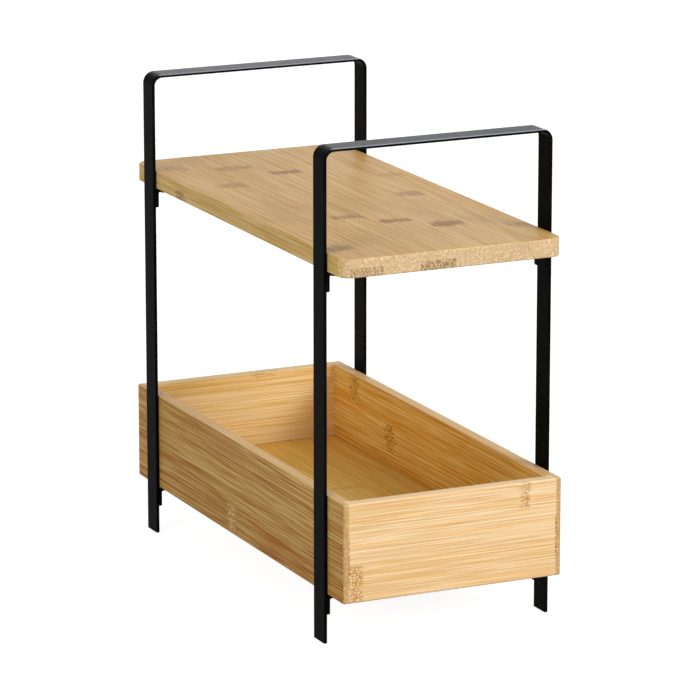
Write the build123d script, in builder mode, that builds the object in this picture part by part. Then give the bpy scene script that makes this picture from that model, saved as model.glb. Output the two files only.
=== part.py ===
from build123d import *
import os

# Two-tier countertop shelf: two bent steel frames, a bamboo board and an open bamboo drawer.
# Millimetres. X is the short width, Y the length with the front at -Y, Z is up from the counter.

os.makedirs("parts", exist_ok=True)

# Steel frames, one near each end
frame_width = 150
frame_height = 300.5
frame_spacing = 259
bar_width = 15
bar_thickness = 2
bend_radius = 5
bar_edge_radius = 0.3

# Angle brackets welded to the inner faces of the legs
bracket_height = 12
bracket_reach = 14
bracket_width = 15
bracket_thickness = 2
bracket_bend_radius = 1
bracket_corner_radius = 1
bracket_edge_radius = 0.25

# Bamboo board of the upper tier
board_level = 227
board_length = 315
board_thickness = 11.5
board_corner_radius = 8
board_edge_radius = 1
board_side_gap = 0.5

# Wood screws that hold the board down on its brackets
screw_diameter = 3
screw_length = 12
screw_tip = 3
screw_head_diameter = 6.4
screw_head_height = 2
screw_head_crown = 1.2
screw_recess_width = 0.9
screw_recess_span = 3.6
screw_recess_depth = 1.1
screw_setback = 8.5
bracket_hole_clearance = 0.5
pilot_hole_clearance = 0.05

# Open bamboo drawer of the lower tier
drawer_level = 30
drawer_length = 317
drawer_depth = 61
drawer_wall = 8
drawer_edge_radius = 1
drawer_corner_radius = 2
drawer_side_gap = 0.5
drawer_running_gap = 0.3
panel_thickness = 5
panel_rise = 7.5
rebate_depth = 4.5
groove_play = 0.2

# Worked out from the sizes above
leg_gap = frame_width - 2 * bar_thickness
outer_bend_radius = bend_radius + bar_thickness
outer_bracket_radius = bracket_bend_radius + bracket_thickness
board_width = leg_gap - 2 * board_side_gap
drawer_width = leg_gap - 2 * drawer_side_gap
drawer_inner_width = drawer_width - 2 * drawer_wall
drawer_inner_length = drawer_length - 2 * drawer_wall
screw_row = leg_gap / 2 - screw_setback

ends = {"front": -1, "rear": 1}
sides = {"left": -1, "right": 1}


def save(piece, name):
    """Label a finished piece and write it to its own file."""
    piece.label = name
    export_step(piece, f"parts/{name}.step")


# Bent frames

for end, toward in ends.items():
    frame_plane = Plane.XZ.offset(-toward * frame_spacing / 2)
    with BuildPart() as frame:
        with BuildSketch(frame_plane):
            with BuildLine():
                FilletPolyline(
                    (-frame_width / 2, 0),
                    (-frame_width / 2, frame_height),
                    (frame_width / 2, frame_height),
                    (frame_width / 2, 0),
                    radius=outer_bend_radius,
                )
                offset(amount=bar_thickness, side=Side.RIGHT)
            make_face()
        extrude(amount=bar_width / 2, both=True)
        faces_along = frame.faces().filter_by(Axis.Y)
        fillet(faces_along.edges(), bar_edge_radius)
    save(frame.part, f"{end}_frame")


# Angle brackets

def bracket(side, toward, level, with_hole):
    """One angle: a flange down the leg and a flange inward, its top face at the level given."""
    seat_plane = Plane.XZ.offset(-toward * frame_spacing / 2)
    leg_face = side * leg_gap / 2
    with BuildPart() as angle:
        with BuildSketch(seat_plane):
            with BuildLine():
                FilletPolyline(
                    (leg_face, level - bracket_height),
                    (leg_face, level),
                    (leg_face - side * bracket_reach, level),
                    radius=outer_bracket_radius,
                )
                offset(amount=bracket_thickness, side=Side.LEFT if side > 0 else Side.RIGHT)
            make_face()
        extrude(amount=bracket_width / 2, both=True)
        low_corners = angle.faces().sort_by(Axis.Z)[0].edges().filter_by(Axis.X)
        free_corners = angle.faces().sort_by(Axis.X)[0 if side > 0 else -1].edges().filter_by(Axis.Z)
        fillet(low_corners + free_corners, bracket_corner_radius)
        fillet(angle.faces().filter_by(Axis.Y).edges(), bracket_edge_radius)
        if with_hole:
            hole_spot = Location((side * screw_row, toward * frame_spacing / 2, level))
            with Locations(hole_spot):
                Hole(radius=(screw_diameter + bracket_hole_clearance) / 2, depth=bracket_thickness)
    return angle.part


for end, toward in ends.items():
    for side_name, side in sides.items():
        board_bracket = bracket(side, toward, board_level, with_hole=True)
        save(board_bracket, f"{end}_{side_name}_board_bracket")
        drawer_bracket = bracket(side, toward, drawer_level - drawer_running_gap, with_hole=False)
        save(drawer_bracket, f"{end}_{side_name}_drawer_bracket")


# Board

with BuildPart() as board:
    with BuildSketch(Plane.XY.offset(board_level)):
        RectangleRounded(board_width, board_length, board_corner_radius)
    extrude(amount=board_thickness)
    fillet(board.faces().filter_by(Axis.Z).edges(), board_edge_radius)
    pilot_depth = screw_length - bracket_thickness
    with BuildSketch(Plane.XY.offset(board_level)):
        with GridLocations(2 * screw_row, frame_spacing, 2, 2):
            Circle(screw_diameter / 2 + pilot_hole_clearance)
    extrude(amount=pilot_depth, mode=Mode.SUBTRACT)
save(board.part, "board")


# Board screws

def board_screw(side, toward):
    """A pan-head wood screw, pointing up, its head under the bracket."""
    head_top = board_level - bracket_thickness
    axis_x = side * screw_row
    axis_y = toward * frame_spacing / 2
    shank_radius = screw_diameter / 2
    head_radius = screw_head_diameter / 2
    with BuildPart() as screw:
        with BuildSketch(Plane.XZ.offset(-axis_y)):
            with BuildLine():
                Polyline(
                    (axis_x, head_top - screw_head_height),
                    (axis_x + head_radius, head_top - screw_head_height),
                    (axis_x + head_radius, head_top),
                    (axis_x + shank_radius, head_top),
                    (axis_x + shank_radius, head_top + screw_length - screw_tip),
                    (axis_x, head_top + screw_length),
                    close=True,
                )
            make_face()
        revolve(axis=Axis((axis_x, axis_y, 0), (0, 0, 1)))
        fillet(screw.faces().sort_by(Axis.Z)[0].edges(), screw_head_crown)
        with BuildSketch(Plane.XY.offset(head_top - screw_head_height)):
            with Locations((axis_x, axis_y)):
                Rectangle(screw_recess_span, screw_recess_width)
                Rectangle(screw_recess_width, screw_recess_span)
        extrude(amount=screw_recess_depth, mode=Mode.SUBTRACT)
    return screw.part


for end, toward in ends.items():
    for side_name, side in sides.items():
        save(board_screw(side, toward), f"{end}_{side_name}_board_screw")


# Drawer walls, rebated at the corners and grooved for the bottom

def drawer_wall_piece(outline):
    """One wall: the whole rim of the drawer, kept only inside that wall's outline in plan."""
    with BuildPart() as wall:
        with BuildSketch(Plane.XY.offset(drawer_level)):
            Rectangle(drawer_width, drawer_length)
            Rectangle(drawer_inner_width, drawer_inner_length, mode=Mode.SUBTRACT)
        extrude(amount=drawer_depth)
        corner_edges = wall.edges().filter_by(Axis.Z).sort_by(lambda edge: abs(edge.center().X))[-4:]
        fillet(corner_edges, drawer_corner_radius)
        rim_edges = wall.faces().filter_by(Axis.Z).edges()
        fillet(rim_edges, drawer_edge_radius)
        with BuildSketch(Plane.XY.offset(drawer_level + panel_rise)):
            Rectangle(drawer_inner_width + 2 * rebate_depth, drawer_inner_length + 2 * rebate_depth)
        extrude(amount=panel_thickness + groove_play, mode=Mode.SUBTRACT)
        with BuildSketch(Plane.XY.offset(drawer_level)):
            with BuildLine():
                Polyline(*outline, close=True)
            make_face()
        extrude(amount=drawer_depth, mode=Mode.INTERSECT)
    return wall.part


half_width = drawer_width / 2
half_length = drawer_length / 2
inner_side = drawer_inner_width / 2
inner_end = drawer_inner_length / 2
rebate_side = inner_side + rebate_depth

for side_name, side in sides.items():
    side_outline = [
        (side * half_width, -half_length),
        (side * half_width, half_length),
        (side * rebate_side, half_length),
        (side * rebate_side, inner_end),
        (side * inner_side, inner_end),
        (side * inner_side, -inner_end),
        (side * rebate_side, -inner_end),
        (side * rebate_side, -half_length),
    ]
    save(drawer_wall_piece(side_outline), f"drawer_{side_name}_side")

for end, toward in ends.items():
    end_outline = [
        (-rebate_side, toward * inner_end),
        (rebate_side, toward * inner_end),
        (rebate_side, toward * half_length),
        (-rebate_side, toward * half_length),
    ]
    save(drawer_wall_piece(end_outline), f"drawer_{end}_end")


# Drawer bottom

with BuildPart() as drawer_bottom:
    with BuildSketch(Plane.XY.offset(drawer_level + panel_rise)):
        Rectangle(
            drawer_inner_width + 2 * (rebate_depth - groove_play),
            drawer_inner_length + 2 * (rebate_depth - groove_play),
        )
    extrude(amount=panel_thickness)
save(drawer_bottom.part, "drawer_bottom")
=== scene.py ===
import math

import bpy
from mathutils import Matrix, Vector

# Two-tier countertop shelf: black bent frames, a bamboo board and an open bamboo drawer.
# Metres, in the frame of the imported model: front at -Y, left at -X, Z up from the counter.

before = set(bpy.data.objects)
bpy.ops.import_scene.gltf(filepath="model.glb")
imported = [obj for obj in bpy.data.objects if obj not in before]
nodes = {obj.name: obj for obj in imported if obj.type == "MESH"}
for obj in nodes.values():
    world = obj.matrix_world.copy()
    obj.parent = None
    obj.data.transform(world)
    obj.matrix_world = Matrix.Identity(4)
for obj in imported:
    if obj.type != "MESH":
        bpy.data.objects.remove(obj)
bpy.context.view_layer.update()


# Camera, at the photograph's angle

camera_drop = 14.039
camera_turn = 25.043
camera_data = bpy.data.cameras.new("camera")
camera_data.sensor_width = 36
camera_data.lens = 229.7
camera_data.clip_end = 50
camera = bpy.data.objects.new("camera", camera_data)
camera.location = (-1.13676, -2.44575, 0.81611)
camera.rotation_euler = (math.radians(90 - camera_drop), 0, math.radians(-camera_turn))
bpy.context.scene.collection.objects.link(camera)
bpy.context.scene.camera = camera
bpy.context.scene.view_settings.view_transform = "Standard"


# Short calls for wiring nodes

def feed(tree, socket, value):
    """Join a socket to an output, or set its own value."""
    if isinstance(value, bpy.types.NodeSocket):
        tree.links.new(value, socket)
    else:
        socket.default_value = value


def place(tree, kind, sockets=None, **settings):
    """Add a node, set its options and feed its named inputs."""
    node = tree.nodes.new(kind)
    for option, value in settings.items():
        setattr(node, option, value)
    for name, value in (sockets or {}).items():
        feed(tree, node.inputs[name], value)
    return node


def maths(tree, operation, *values):
    """One Math node on up to three values."""
    node = tree.nodes.new("ShaderNodeMath")
    node.operation = operation
    for socket, value in zip(node.inputs, values):
        feed(tree, socket, value)
    return node.outputs["Value"]


def add_up(tree, start, *parts):
    """The start plus each value times its share, for parts that are (value, share)."""
    total = start
    for value, share in parts:
        total = maths(tree, "MULTIPLY_ADD", value, share, total)
    return total


def ease(tree, value, low, high):
    """A smooth step from 0 at low to 1 at high; low may be the larger."""
    node = place(tree, "ShaderNodeMapRange", interpolation_type="SMOOTHSTEP")
    feed(tree, node.inputs["Value"], value)
    if low < high:
        limits = (low, high, 0, 1)
    else:
        limits = (high, low, 1, 0)
    for name, limit in zip(("From Min", "From Max", "To Min", "To Max"), limits):
        node.inputs[name].default_value = limit
    return node.outputs["Result"]


def clamp(tree, value):
    """The value held between 0 and 1."""
    return place(tree, "ShaderNodeClamp", {"Value": value}).outputs["Result"]


def tint(tree, factor, first, second, blend_type="MIX"):
    """Colour first turned towards colour second by the factor; each is an output or red, green and blue."""
    node = place(tree, "ShaderNodeMix", data_type="RGBA", blend_type=blend_type)
    # The colour sockets of this node share their names with others, so they are taken by number.
    factor_socket, first_socket, second_socket = node.inputs[0], node.inputs[6], node.inputs[7]
    feed(tree, factor_socket, factor)
    for socket, colour in ((first_socket, first), (second_socket, second)):
        feed(tree, socket, (*colour, 1) if isinstance(colour, tuple) else colour)
    return node.outputs[2]


def shaded(colour, shares):
    """A colour with its red, green and blue each times its share."""
    return tuple(part * share for part, share in zip(colour, shares))


def point(tree, x, y, z):
    """A vector from three values."""
    return place(tree, "ShaderNodeCombineXYZ", {"X": x, "Y": y, "Z": z}).outputs["Vector"]


def axes(tree, kind):
    """The X, Y and Z of the object's own coordinates, or of its normal."""
    source = tree.nodes.new("ShaderNodeTexCoord").outputs[kind]
    return place(tree, "ShaderNodeSeparateXYZ", {"Vector": source}).outputs


def noise(tree, vector, detail, roughness):
    """Soft noise from 0 to 1, with one unit of the vector as its size."""
    sockets = {"Vector": vector, "Scale": 1.0, "Detail": detail, "Roughness": roughness}
    return place(tree, "ShaderNodeTexNoise", sockets).outputs[0]


def cells(tree, vector, feature):
    """Uneven cells, each about one unit of the vector in size."""
    sockets = {"Vector": vector, "Scale": 1.0, "Randomness": 0.9}
    return place(tree, "ShaderNodeTexVoronoi", sockets, feature=feature).outputs


def group(name, inputs, outputs):
    """A new node group on numbers; gives its tree, the inputs seen from inside, and the outputs to feed."""
    tree = bpy.data.node_groups.new(name, "ShaderNodeTree")
    for label in inputs:
        tree.interface.new_socket(label, in_out="INPUT", socket_type="NodeSocketFloat")
    for label in outputs:
        tree.interface.new_socket(label, in_out="OUTPUT", socket_type="NodeSocketFloat")
    return tree, tree.nodes.new("NodeGroupInput").outputs, tree.nodes.new("NodeGroupOutput").inputs


def use(tree, made, sockets):
    """Place a node group in a tree and feed it."""
    node = tree.nodes.new("ShaderNodeGroup")
    node.node_tree = made
    for name, value in sockets.items():
        feed(tree, node.inputs[name], value)
    return node.outputs


# Lamination: which strip and ply a point is in

glue_line_core = 0.00008
glue_line_edge = 0.0003
shift_range = 50


def make_lamination():
    """The number of the ply, a random value and shift for each strip in it, and a mask of the glue lines."""
    inputs = ("Across", "Depth", "Strip Width", "Strip Start", "Ply Thickness", "Ply Start", "Seed")
    tree, given, out = group("bamboo lamination", inputs, ("Ply", "Random", "Shift", "Glue Line"))
    layers = (("Across", "Strip Start", "Strip Width"), ("Depth", "Ply Start", "Ply Thickness"))
    numbers = []
    glue_lines = []
    for axis, start, size in layers:
        position = maths(tree, "DIVIDE", maths(tree, "SUBTRACT", given[axis], given[start]), given[size])
        to_line = maths(tree, "MULTIPLY", maths(tree, "PINGPONG", position, 0.5), given[size])
        numbers.append(maths(tree, "FLOOR", position))
        glue_lines.append(ease(tree, to_line, glue_line_edge, glue_line_core))
    strip, ply = numbers
    chance = place(tree, "ShaderNodeTexWhiteNoise", {"Vector": point(tree, strip, ply, given["Seed"])})
    shades = place(tree, "ShaderNodeSeparateColor", {"Color": chance.outputs["Color"]}).outputs
    feed(tree, out["Ply"], ply)
    feed(tree, out["Random"], shades[0])
    feed(tree, out["Shift"], maths(tree, "MULTIPLY", shades[1], shift_range))
    feed(tree, out["Glue Line"], maths(tree, "MAXIMUM", *glue_lines))
    return tree


# Fibres: length along the grain, width across it, noise detail, roughness, and a shift that parts them

streak_sizes = {
    "Band": (0.6, 0.011, 2, 0.5, 3),
    "Fibre": (0.15, 0.0009, 2, 0.55, 17),
    "Hair": (0.05, 0.0006, 1, 0.6, 41),
    "Warm": (0.3, 0.0014, 2, 0.6, 59),
    "Row Wander": (0.5, 0.006, 2, 0.5, 91),
    "Row Strength": (0.16, 0.0015, 2, 0.6, 73),
    "Row Cluster": (0.4, 0.006, 2, 0.5, 29),
}
row_pitch = 0.00142
row_wander = 3


def make_fibres():
    """Long bamboo fibres: bands, fibres and hairs of tone, pale at 1, warm streaks and rows of dark lines."""
    outputs = ("Band", "Fibre", "Hair", "Line", "Warm")
    tree, given, out = group("bamboo fibres", ("Along", "Across", "Depth", "Shift"), outputs)

    def streaks(kind):
        length, width, detail, roughness, push = streak_sizes[kind]
        along = maths(tree, "MULTIPLY_ADD", given["Along"], 1 / length, given["Shift"])
        across = maths(tree, "MULTIPLY_ADD", given["Across"], 1 / width, push)
        inward = maths(tree, "MULTIPLY", given["Depth"], 1 / width)
        return noise(tree, point(tree, along, across, inward), detail, roughness)

    for kind in ("Band", "Fibre", "Hair"):
        feed(tree, out[kind], streaks(kind))
    feed(tree, out["Warm"], ease(tree, streaks("Warm"), 0.46, 0.64))

    wander = maths(tree, "MULTIPLY", streaks("Row Wander"), row_wander)
    slanted = maths(tree, "ADD", given["Across"], given["Depth"])
    rows = maths(tree, "MULTIPLY_ADD", slanted, 1 / row_pitch, wander)
    row = ease(tree, maths(tree, "PINGPONG", rows, 0.5), 0.3, 0.06)
    strength = ease(tree, streaks("Row Strength"), 0.3, 0.62)
    cluster = add_up(tree, 0.52, (ease(tree, streaks("Row Cluster"), 0.34, 0.6), 0.42))
    feed(tree, out["Line"], maths(tree, "MULTIPLY", row, maths(tree, "MULTIPLY", strength, cluster)))
    return tree


# Knuckles: the joints of the cane. A gap of far_off or more stands for no knuckle on the strip.

far_off = 1000.0
pebbles_along = 500
pebbles_across = 640


def make_knuckle_place():
    """The nearest knuckle on a strip, in half lengths of that knuckle, and how strongly it is marked."""
    inputs = ("Along", "Across", "Ply", "Knuckle Along", "Knuckle Across", "Half Width", "Knuckle Ply",
              "Half Length", "Strength", "Nearest", "Mark")
    tree, given, out = group("bamboo knuckle place", inputs, ("Nearest", "Mark"))
    gap = maths(tree, "ABSOLUTE", maths(tree, "SUBTRACT", given["Along"], given["Knuckle Along"]))
    gap = maths(tree, "DIVIDE", gap, given["Half Length"])
    same_strip = maths(tree, "COMPARE", given["Across"], given["Knuckle Across"], given["Half Width"])
    same_ply = maths(tree, "COMPARE", given["Ply"], given["Knuckle Ply"], 0.5)
    here = maths(tree, "MULTIPLY", same_strip, same_ply)
    gap = maths(tree, "ADD", gap, maths(tree, "MULTIPLY_ADD", here, -far_off, far_off))
    closer = maths(tree, "LESS_THAN", gap, given["Nearest"])
    change = maths(tree, "MULTIPLY", closer, maths(tree, "SUBTRACT", given["Strength"], given["Mark"]))
    feed(tree, out["Nearest"], maths(tree, "MINIMUM", given["Nearest"], gap))
    feed(tree, out["Mark"], maths(tree, "ADD", given["Mark"], change))
    return tree


def make_knuckle():
    """A knuckle's mark: a ragged stain, pebbles with dark rings and pale middles, and the grain's bend."""
    inputs = ("Along", "Across", "Depth", "Nearest", "Mark")
    tree, given, out = group("bamboo knuckle", inputs, ("Stain", "Rings", "Middles", "Bend"))

    def spots(along, across, detail, roughness):
        """Noise with so many spots to the metre along and across the grain."""
        spot = point(tree, maths(tree, "MULTIPLY", given["Along"], along),
                     maths(tree, "MULTIPLY", given["Across"], across),
                     maths(tree, "MULTIPLY", given["Depth"], across))
        return noise(tree, spot, detail, roughness)

    curve = maths(tree, "SUBTRACT", spots(20, 90, 1, 0.5), 0.5)
    ragged = maths(tree, "SUBTRACT", spots(150, 900, 2, 0.65), 0.5)
    bowed = add_up(tree, given["Nearest"], (curve, 1.6))

    streaks = ease(tree, spots(60, 900, 2, 0.6), 0.3, 0.6)
    streaked = clamp(tree, maths(tree, "MULTIPLY", given["Mark"], add_up(tree, 0.25, (streaks, 0.75))))
    near = ease(tree, add_up(tree, bowed, (ragged, 2.8)), 1.45, 0.45)
    feed(tree, out["Stain"], maths(tree, "MULTIPLY", streaked, near))

    shake_along = maths(tree, "MULTIPLY", ragged, 1.6)
    shake_across = maths(tree, "MULTIPLY", curve, 2.0)
    shaken = point(tree, maths(tree, "MULTIPLY_ADD", given["Along"], pebbles_along, shake_along),
                   maths(tree, "MULTIPLY_ADD", given["Across"], pebbles_across, shake_across),
                   maths(tree, "MULTIPLY", given["Depth"], pebbles_across))
    inside = cells(tree, shaken, "DISTANCE_TO_EDGE")["Distance"]
    patchy = add_up(tree, 0.25, (ease(tree, spots(260, 330, 2, 0.6), 0.36, 0.6), 0.75))
    near_line = ease(tree, add_up(tree, bowed, (ragged, 1.5)), 1.25, 0.6)
    column = maths(tree, "MULTIPLY", given["Mark"], near_line)
    ring = maths(tree, "MULTIPLY", ease(tree, inside, 0.19, 0.03), patchy)
    feed(tree, out["Rings"], maths(tree, "MULTIPLY", column, ring))
    feed(tree, out["Middles"], maths(tree, "MULTIPLY", column, ease(tree, inside, 0.12, 0.28)))

    sway = maths(tree, "MULTIPLY", ragged, 0.003)
    feed(tree, out["Bend"], maths(tree, "MULTIPLY", sway, ease(tree, given["Nearest"], 3.5, 0.4)))
    return tree


# Cut ends: how many bundles of fibres there are to the metre across, and along

bundles_across = 1050
bundles_along = 60


def make_end_grain():
    """Cut ends of the fibres: fine dots of every shade, closer in patches, and the skin's dark dashes."""
    outputs = ("Tone", "Dots", "Patch", "Dashes")
    tree, given, out = group("bamboo end grain", ("Along", "Across", "Depth", "Shift"), outputs)
    across, inward = given["Across"], given["Depth"]
    spot = point(tree, maths(tree, "MULTIPLY", given["Along"], bundles_along),
                 maths(tree, "MULTIPLY_ADD", across, bundles_across, given["Shift"]),
                 maths(tree, "MULTIPLY", inward, bundles_across))
    bundles = cells(tree, spot, "F1")
    shade = place(tree, "ShaderNodeSeparateColor", {"Color": bundles["Color"]}).outputs[0]
    wide = point(tree, 0, maths(tree, "MULTIPLY_ADD", across, 130, given["Shift"]),
                 maths(tree, "MULTIPLY", inward, 260))
    cloud = noise(tree, wide, 3, 0.6)
    leaning = maths(tree, "MULTIPLY_ADD", across, 900, maths(tree, "MULTIPLY", inward, 260))
    dashes = noise(tree, point(tree, 0, leaning, maths(tree, "MULTIPLY", inward, 420)), 2, 0.6)
    feed(tree, out["Tone"], maths(tree, "MULTIPLY_ADD", shade, 0.75, maths(tree, "MULTIPLY", cloud, 0.3)))
    feed(tree, out["Dots"], ease(tree, bundles["Distance"], 0.45, 0.15))
    feed(tree, out["Patch"], ease(tree, cloud, 0.5, 0.68))
    feed(tree, out["Dashes"], ease(tree, dashes, 0.42, 0.58))
    return tree


def make_unevenness():
    """How unevenly a finish lies: soft noise about 0, in lumps of the size given."""
    tree, given, out = group("finish unevenness", ("X", "Y", "Z", "Size"), ("Height",))
    spot = point(tree, *(maths(tree, "DIVIDE", given[axis], given["Size"]) for axis in "XYZ"))
    feed(tree, out["Height"], maths(tree, "SUBTRACT", noise(tree, spot, 2, 0.55), 0.5))
    return tree


lamination = make_lamination()
fibres = make_fibres()
knuckle_place = make_knuckle_place()
knuckle = make_knuckle()
end_grain = make_end_grain()
unevenness = make_unevenness()


# Materials

def new_material(name):
    """A new material and its node tree."""
    material = bpy.data.materials.new(name)
    material.use_nodes = True
    return material, material.node_tree


def uneven(tree, where, size):
    """The unevenness of a finish at a place, in lumps of the size given."""
    return use(tree, unevenness, {"X": where["X"], "Y": where["Y"], "Z": where["Z"], "Size": size})["Height"]


def surface(tree, colour, roughness, specular, height, bump_strength, bump_depth):
    """Feed a surface's colour, roughness, specular level and height to its shader, and give the shader."""
    shader = tree.nodes["Principled BSDF"]
    sockets = {"Strength": bump_strength, "Distance": bump_depth, "Height": height}
    bump = place(tree, "ShaderNodeBump", sockets)
    feed(tree, shader.inputs["Base Color"], colour)
    feed(tree, shader.inputs["Roughness"], roughness)
    feed(tree, shader.inputs["Normal"], bump.outputs["Normal"])
    shader.inputs["Specular IOR Level"].default_value = specular
    return shader


# How far the strips, bands, fibres and hairs each move the tone of the grain

strip_share = 0.3
band_share = 0.4
fibre_share = 2.0
hair_share = 3.0


# Darker colours as shares of a piece's deep tone, and the wash of the warm streaks

line_shares = (0.8, 0.62, 0.42)
stain_shares = (0.45, 0.32, 0.12)
ring_shares = (0.72, 0.48, 0.22)
crack_shares = (0.25, 0.25, 0.25)
dot_shares = (0.6, 0.6, 0.6)
warm_wash = (1.0, 0.87, 0.64)


# The height at which the seams between the drawer's walls gape most

seam_gape_height = 0.055


def knuckle_marks(tree, run, side, inward, ply, knuckles):
    """The marks of a piece's knuckles: at each point, that of the nearest one on the same strip."""
    nearest, strongest = far_off, 0.0
    for knuckle_along, knuckle_across, half_width, knuckle_ply, half_length, strength in knuckles:
        found = use(tree, knuckle_place, {
            "Along": run, "Across": side, "Ply": ply,
            "Knuckle Along": knuckle_along, "Knuckle Across": knuckle_across, "Half Width": half_width,
            "Knuckle Ply": knuckle_ply, "Half Length": half_length, "Strength": strength,
            "Nearest": nearest, "Mark": strongest,
        })
        nearest, strongest = found["Nearest"], found["Mark"]
    sockets = {"Along": run, "Across": side, "Depth": inward, "Nearest": nearest, "Mark": strongest}
    return use(tree, knuckle, sockets)


def dark_skin(tree, run, side, ply, dark_ends):
    """How much of the dark fibres near the culm's skin shows on a cut end, at the front only."""
    skin = 0.0
    for end_across, half_width, end_ply, strength in dark_ends:
        same_strip = maths(tree, "COMPARE", side, end_across, half_width)
        same_ply = maths(tree, "COMPARE", ply, end_ply, 0.5)
        at_front = maths(tree, "LESS_THAN", run, 0)
        dark_end = maths(tree, "MULTIPLY", maths(tree, "MULTIPLY", same_strip, same_ply), at_front)
        skin = maths(tree, "MULTIPLY_ADD", dark_end, strength, skin)
    return skin


def seam_crack(tree, run, side, inward, seam):
    """The broken dark line of a seam, at one distance either side of the middle."""
    to_seam = maths(tree, "ABSOLUTE", maths(tree, "SUBTRACT", maths(tree, "ABSOLUTE", run), seam))
    specks = point(tree, maths(tree, "MULTIPLY", run, 900), maths(tree, "MULTIPLY", side, 900), inward)
    broken = ease(tree, noise(tree, specks, 1, 0.5), 0.4, 0.55)
    from_gape = maths(tree, "ABSOLUTE", maths(tree, "SUBTRACT", side, seam_gape_height))
    gape = add_up(tree, 0.25, (ease(tree, from_gape, 0.018, 0.008), 0.7))
    crack = maths(tree, "MULTIPLY", ease(tree, to_seam, 0.0009, 0.0005), broken)
    return maths(tree, "MULTIPLY", crack, gape)


def bamboo(name, along, across, depth, *, pale, deep, end_pale, end_deep, strip_start, seed, knuckles,
           contrast, lines, stain, strip_width=0.0207, ply_thickness=1.0, ply_start=-0.5, warmth=0.4,
           beads=0.2, ring=None, middle=None, seam=None, rim=None, flank=None, dark_ends=()):
    """Laminated bamboo under satin lacquer, its grain along one axis and its strips side by side on another.

    A knuckle is (place along, place across, half width, ply number, half length, strength). A ring and a
    middle are the colours of its pebbles, where the usual dark ring and pale middle don't serve. A seam is
    the place, on the along axis and either side of the middle, where the piece butts against its neighbour.
    A rim is the colour of the sanded upper edge, and a flank a wash over the faces towards X, where the
    strips show edge on. A dark end is (place across, half width, ply number, strength): a strip whose cut
    end, at the front, shows more of the dark fibres. With no ply thickness given, the piece is one ply.
    """
    material, tree = new_material(name)
    where = axes(tree, "Object")
    facing = axes(tree, "Normal")
    run, side, inward = where[along], where[across], where[depth]
    layer = use(tree, lamination, {
        "Across": side, "Depth": inward, "Strip Width": strip_width, "Strip Start": strip_start,
        "Ply Thickness": ply_thickness, "Ply Start": ply_start, "Seed": seed,
    })
    mark = knuckle_marks(tree, run, side, inward, layer["Ply"], knuckles)
    bent = maths(tree, "ADD", side, mark["Bend"])
    grain = use(tree, fibres, {"Along": run, "Across": bent, "Depth": inward, "Shift": layer["Shift"]})
    ends = use(tree, end_grain, {"Along": run, "Across": side, "Depth": inward, "Shift": layer["Shift"]})

    tones = ((layer["Random"], strip_share), (grain["Band"], band_share), (grain["Fibre"], fibre_share),
             (grain["Hair"], hair_share))
    steps = [(maths(tree, "SUBTRACT", value, 0.5), share * contrast) for value, share in tones]
    colour = tint(tree, clamp(tree, add_up(tree, 0.5, *steps)), deep, pale)
    colour = tint(tree, maths(tree, "MULTIPLY", grain["Warm"], warmth), colour, warm_wash, "MULTIPLY")
    dark = shaded(deep, line_shares)
    for mask, strength, mark_colour in (
        (grain["Line"], lines, dark),
        (layer["Glue Line"], 0.3, dark),
        (mark["Stain"], stain, shaded(deep, stain_shares)),
        (mark["Rings"], beads, ring or shaded(deep, ring_shares)),
        (mark["Middles"], beads * 0.65, middle or pale),
    ):
        colour = tint(tree, maths(tree, "MULTIPLY", mask, strength), colour, mark_colour)
    if rim is not None:
        on_rim = ease(tree, facing["Z"], 0.5, 0.9)
        colour = tint(tree, maths(tree, "MULTIPLY", on_rim, 0.6), colour, rim)
    if flank is not None:
        on_flank = ease(tree, maths(tree, "ABSOLUTE", facing["X"]), 0.5, 0.9)
        colour = tint(tree, on_flank, colour, flank, "MULTIPLY")

    cut = tint(tree, ends["Tone"], end_deep, end_pale)
    dotted = maths(tree, "MULTIPLY", ends["Dots"], add_up(tree, 0.35, (ends["Patch"], 0.3)))
    skin = dark_skin(tree, run, side, layer["Ply"], dark_ends)
    dotted = maths(tree, "MULTIPLY_ADD", add_up(tree, 0.15, (ends["Dashes"], 0.75)), skin, dotted)
    cut = tint(tree, clamp(tree, dotted), cut, shaded(end_deep, dot_shares))
    cut = tint(tree, maths(tree, "MULTIPLY", layer["Glue Line"], 0.2), cut, dark)
    at_end = ease(tree, maths(tree, "ABSOLUTE", facing[along]), 0.5, 0.8)
    colour = tint(tree, at_end, colour, cut)
    if seam is not None:
        colour = tint(tree, seam_crack(tree, run, side, inward, seam), colour, shaded(deep, crack_shares))

    cloud = uneven(tree, where, 0.03)
    roughness = add_up(tree, 0.44, (cloud, 0.14), (grain["Hair"], 0.08), (at_end, 0.12))
    dot_depth = maths(tree, "MULTIPLY", at_end, -0.6)
    height = add_up(tree, 0.0, (grain["Hair"], 0.5), (grain["Line"], -0.35), (mark["Rings"], -0.5),
                    (ends["Dots"], dot_depth), (layer["Glue Line"], -0.4))
    surface(tree, colour, roughness, specular=0.06, height=height, bump_strength=0.35, bump_depth=0.00012)
    return material


# Steel: how far the frames stand from the middle, and where their bars' edges and tops begin and end, for the
# edge wear and the painted highlights along them

frame_offset = 0.1295
edge_start = 0.0070
wear_and_highlight_edge = 0.0074
highlight_edge = 0.0073
highlight_low = 0.2998
highlight_high = 0.3001


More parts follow.
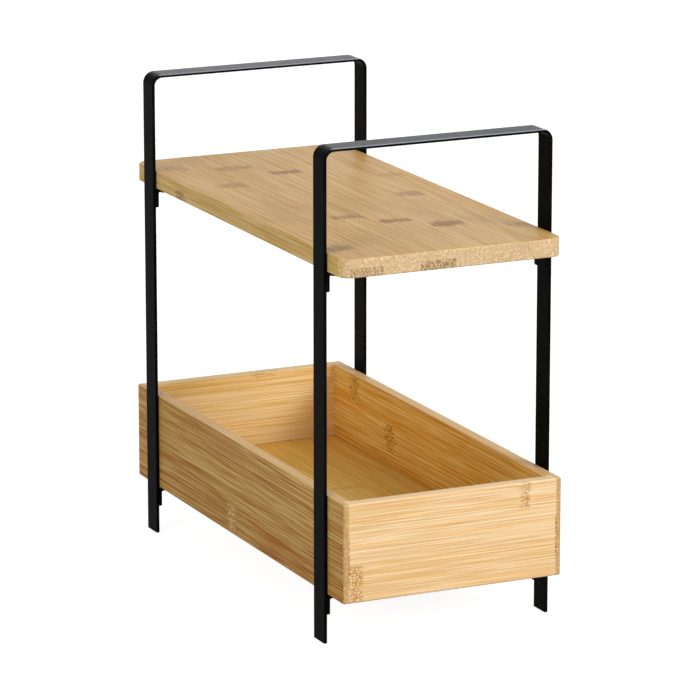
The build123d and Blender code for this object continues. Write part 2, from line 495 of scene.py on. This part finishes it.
def painted_steel(name, *, base, rough, specular, sheen, tooth_size, tooth_depth, painted_highlight=None):
    """Steel under a dark baked finish: a fine tooth in the surface and a little unevenness in its gloss.

    A painted highlight is a lighter colour along the upper long edges of the top bars, painted to stand for
    the light that their rounded edges catch.
    """
    material, tree = new_material(name)
    where = axes(tree, "Object")
    cloud = uneven(tree, where, 0.02)
    tooth = uneven(tree, where, tooth_size)
    colour = tint(tree, ease(tree, cloud, -0.25, 0.25), base, shaded(base, (1.7, 1.7, 1.7)))
    from_frame = maths(tree, "SUBTRACT", maths(tree, "ABSOLUTE", where["Y"]), frame_offset)
    to_edge = maths(tree, "ABSOLUTE", from_frame)
    # Lighter in patches along the bars' rounded edges: partly rubbed wear of the finish, partly a painted
    # highlight on the edges.
    wear_and_highlight = maths(tree, "MULTIPLY", ease(tree, to_edge, edge_start, wear_and_highlight_edge), ease(tree, cloud, -0.05, 0.2))
    colour = tint(tree, maths(tree, "MULTIPLY", wear_and_highlight, 0.5), colour, shaded(base, (4, 4, 4)))
    # Painted highlight: a lighter grey along the upper long edges of the top bars, standing for the light
    # their rounded edges catch.
    if painted_highlight is not None:
        on_top = ease(tree, where["Z"], highlight_low, highlight_high)
        on_painted_highlight = maths(tree, "MULTIPLY", ease(tree, to_edge, edge_start, highlight_edge), on_top)
        colour = tint(tree, on_painted_highlight, colour, painted_highlight)
    roughness = add_up(tree, rough, (cloud, 0.16), (tooth, 0.1))
    shader = surface(tree, colour, roughness, specular, tooth, bump_strength=0.4, bump_depth=tooth_depth)
    shader.inputs["Sheen Weight"].default_value = sheen
    shader.inputs["Sheen Roughness"].default_value = 0.2
    shader.inputs["Sheen Tint"].default_value = (0.93, 0.95, 1.0, 1)
    return material


def cover(material, *names):
    """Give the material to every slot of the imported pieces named."""
    for name in names:
        for slot in nodes[name].material_slots:
            slot.material = material


# Bamboo pieces. Each knuckle was placed one by one.

board_top_knuckles = [
    (0.125, -0.0615, 0.0095, 1, 0.0075, 0.45),
    (-0.1282, -0.0615, 0.0095, 1, 0.0065, 0.8),
    (0.0622, -0.0466, 0.0095, 1, 0.005, 0.6),
    (0.1103, -0.0237, 0.0118, 1, 0.0056, 0.6),
    (-0.0515, -0.0205, 0.0095, 1, 0.0056, 0.8),
    (0.0855, 0.0007, 0.0098, 1, 0.0052, 1.9),
    (-0.073, 0.0017, 0.0098, 1, 0.0052, 1.5),
    (-0.0925, 0.0268, 0.0106, 1, 0.0056, 1.35),
    (-0.0059, 0.0439, 0.0085, 1, 0.0062, 0.75),
    (0.0511, 0.0582, 0.0085, 1, 0.0044, 0.35),
    (-0.1136, 0.0645, 0.0078, 1, 0.0056, 0.45),
]
board_under_knuckles = [
    (0.0845, -0.0622, 0.0103, 0, 0.0055, 0.75),
    (-0.118, -0.0415, 0.0103, 0, 0.005, 0.7),
    (0.022, -0.0207, 0.0103, 0, 0.006, 1.2),
    (-0.047, 0.0, 0.0103, 0, 0.005, 0.7),
    (0.131, 0.0207, 0.0103, 0, 0.005, 0.8),
    (-0.014, 0.0415, 0.0103, 0, 0.005, 0.6),
    (0.071, 0.0622, 0.0103, 0, 0.006, 1.1),
]
left_side_knuckles = [
    (0.0055, 0.0395, 0.0095, 0, 0.007, 1.5),
    (-0.124, 0.084, 0.0095, 0, 0.004, 0.8),
    (0.139, 0.0625, 0.0105, 0, 0.004, 0.8),
]
right_side_knuckles = [
    (0.065, 0.0615, 0.0095, 0, 0.006, 2.0),
    (0.1185, 0.0825, 0.0095, 0, 0.005, 1.7),
    (-0.081, 0.0385, 0.0095, 0, 0.004, 0.8),
]
front_end_knuckles = [
    (0.0476, 0.0845, 0.0095, 0, 0.0036, 1.0),
    (-0.0642, 0.0415, 0.0115, 0, 0.0042, 1.0),
]
rear_end_knuckles = [
    (0.0147, 0.0895, 0.0018, 0, 0.0075, 0.7),
    (-0.047, 0.0492, 0.0105, 0, 0.004, 0.8),
]
bottom_knuckles = [
    (0.031, 0.017, 0.0103, 0, 0.0035, 0.6),
    (-0.09, -0.0207, 0.0112, 0, 0.0065, 2.2),
    (-0.02, 0.0518, 0.0103, 0, 0.0035, 0.6),
    (0.11, -0.0415, 0.0103, 0, 0.0035, 0.5),
]
board_dark_ends = [
    (-0.0104, 0.0116, 0, 1.0),
    (-0.0565, 0.0105, 0, 0.8),
    (0.0435, 0.0065, 1, 0.2),
]

board_bamboo = bamboo(
    "bamboo board", "Y", "X", "Z",
    pale=(0.80, 0.575, 0.272), deep=(0.50, 0.275, 0.055),
    end_pale=(0.79, 0.60, 0.37), end_deep=(0.46, 0.285, 0.125),
    strip_start=-0.0725, ply_thickness=0.0058, ply_start=0.227, seed=3,
    knuckles=board_top_knuckles + board_under_knuckles, dark_ends=board_dark_ends,
    contrast=1.12, lines=0.48, warmth=0.35, stain=1.0, flank=(1.04, 1.15, 1.2),
)
cover(board_bamboo, "board")

wall_ends = {"end_pale": (0.68, 0.44, 0.21), "end_deep": (0.44, 0.24, 0.085)}
beaded = {"stain": 0.35, "beads": 0.95}

left_bamboo = bamboo(
    "bamboo left side", "Y", "Z", "X",
    pale=(0.625, 0.435, 0.147), deep=(0.335, 0.122, 0.006),
    strip_width=0.0215, strip_start=0.009, seed=11, knuckles=left_side_knuckles,
    contrast=1.15, lines=1.0, warmth=0.5,
    ring=(0.70, 0.47, 0.18), middle=(0.27, 0.12, 0.015), rim=(0.75, 0.50, 0.21), **wall_ends, **beaded,
)
cover(left_bamboo, "drawer_left_side")

right_bamboo = bamboo(
    "bamboo right side", "Y", "Z", "X",
    pale=(0.78, 0.53, 0.17), deep=(0.58, 0.26, 0.02),
    strip_width=0.0225, strip_start=0.026, seed=23, knuckles=right_side_knuckles,
    contrast=1.15, lines=1.0, warmth=0.5, stain=0.4, beads=1.0,
    ring=(0.40, 0.15, 0.004), rim=(0.68, 0.48, 0.26), **wall_ends,
)
cover(right_bamboo, "drawer_right_side")

front_bamboo = bamboo(
    "bamboo front end", "X", "Z", "Y",
    pale=(0.88, 0.67, 0.43), deep=(0.70, 0.44, 0.18),
    strip_width=0.0225, strip_start=0.0085, seed=31, knuckles=front_end_knuckles,
    contrast=1.05, lines=0.45, warmth=0.75,
    seam=0.069, rim=(0.84, 0.62, 0.36), **wall_ends, **beaded,
)
cover(front_bamboo, "drawer_front_end")

rear_bamboo = bamboo(
    "bamboo rear end", "X", "Z", "Y",
    pale=(0.82, 0.63, 0.35), deep=(0.67, 0.42, 0.115),
    strip_width=0.0215, strip_start=0.017, seed=43, knuckles=rear_end_knuckles,
    contrast=0.9, lines=0.5,
    seam=0.069, rim=(0.80, 0.60, 0.33), **wall_ends, **beaded,
)
cover(rear_bamboo, "drawer_rear_end")

bottom_bamboo = bamboo(
    "bamboo bottom", "Y", "X", "Z",
    pale=(0.90, 0.65, 0.20), deep=(0.69, 0.39, 0.065),
    strip_start=-0.0725, seed=57, knuckles=bottom_knuckles,
    contrast=0.9, lines=0.7, stain=0.3, beads=0.5, ring=(0.38, 0.14, 0.01), **wall_ends,
)
cover(bottom_bamboo, "drawer_bottom")


# Steel pieces

# The black powder coat carries a painted highlight along the top bars' upper edges.
powder_coat = painted_steel(
    "black powder coat", base=(0.0022, 0.0021, 0.0019), rough=0.42, specular=0.006, sheen=1.0,
    tooth_size=0.0007, tooth_depth=0.00004, painted_highlight=(0.27, 0.28, 0.32),
)
screw_finish = painted_steel(
    "black screw finish", base=(0.02, 0.02, 0.021), rough=0.36, specular=0.5, sheen=0.0,
    tooth_size=0.0003, tooth_depth=0.00002,
)
steel_names = [name for name in nodes if name.endswith(("_frame", "_bracket"))]
screw_names = [name for name in nodes if name.endswith("_screw")]
cover(powder_coat, *steel_names)
cover(screw_finish, *screw_names)


# Stage: a pale floor, white to the camera, and soft lights

def sheet_mesh(name, corners):
    """A flat stage sheet from its four corners."""
    mesh = bpy.data.meshes.new(name)
    mesh.from_pydata(corners, [], [(0, 1, 2, 3)])
    sheet = bpy.data.objects.new(name, mesh)
    bpy.context.scene.collection.objects.link(sheet)
    return sheet


def seen_rays(tree):
    """1 for what the camera sees, straight or in a glossy surface or glass, and 0 for light on its way."""
    path = tree.nodes.new("ShaderNodeLightPath").outputs
    seen = maths(tree, "MAXIMUM", path["Is Camera Ray"], path["Is Transmission Ray"])
    return maths(tree, "MAXIMUM", seen, path["Is Glossy Ray"])


floor_half = 6.0
floor_grey = 0.32
floor_glow = 0.9
corner_signs = [(-1, -1), (1, -1), (1, 1), (-1, 1)]
floor = sheet_mesh("floor", [(x * floor_half, y * floor_half, 0) for x, y in corner_signs])
floor_material, floor_tree = new_material("white floor")
floor_tree.nodes.remove(floor_tree.nodes["Principled BSDF"])
matt = place(floor_tree, "ShaderNodeBsdfDiffuse", {"Color": (floor_grey, floor_grey, floor_grey, 1)})
glow_strength = maths(floor_tree, "MULTIPLY", seen_rays(floor_tree), floor_glow)
glow = place(floor_tree, "ShaderNodeEmission", {"Color": (1, 1, 1, 1), "Strength": glow_strength})
both = floor_tree.nodes.new("ShaderNodeAddShader")
floor_tree.links.new(matt.outputs["BSDF"], both.inputs[0])
floor_tree.links.new(glow.outputs["Emission"], both.inputs[1])
floor_tree.links.new(both.outputs["Shader"], floor_tree.nodes["Material Output"].inputs["Surface"])
floor.data.materials.append(floor_material)

world = bpy.data.worlds.new("white studio")
world.use_nodes = True
sky = world.node_tree
room_light = 0.45
lit = maths(sky, "MULTIPLY_ADD", seen_rays(sky), 1 - room_light, room_light)
feed(sky, sky.nodes["Background"].inputs["Strength"], lit)
sky.nodes["Background"].inputs["Color"].default_value = (1, 1, 1, 1)
bpy.context.scene.world = world


def soft_light(name, position, aim, width, height, watts):
    """A large area lamp turned towards a point."""
    lamp = bpy.data.lights.new(name, "AREA")
    lamp.shape = "RECTANGLE"
    lamp.size = width
    lamp.size_y = height
    lamp.energy = watts
    light = bpy.data.objects.new(name, lamp)
    light.location = position
    light.rotation_euler = (Vector(aim) - Vector(position)).to_track_quat("-Z", "Y").to_euler()
    light.visible_camera = False
    bpy.context.scene.collection.objects.link(light)


middle = (0, 0, 0.13)
soft_light("key light", (1.22, -2.4, 1.3), middle, 1.3, 1.1, 64)
soft_light("left light", (-2.5, -1.2, 1.2), middle, 1.6, 1.4, 37)
soft_light("back light", (1.2, 2.6, 1.0), middle, 2.4, 0.9, 12)
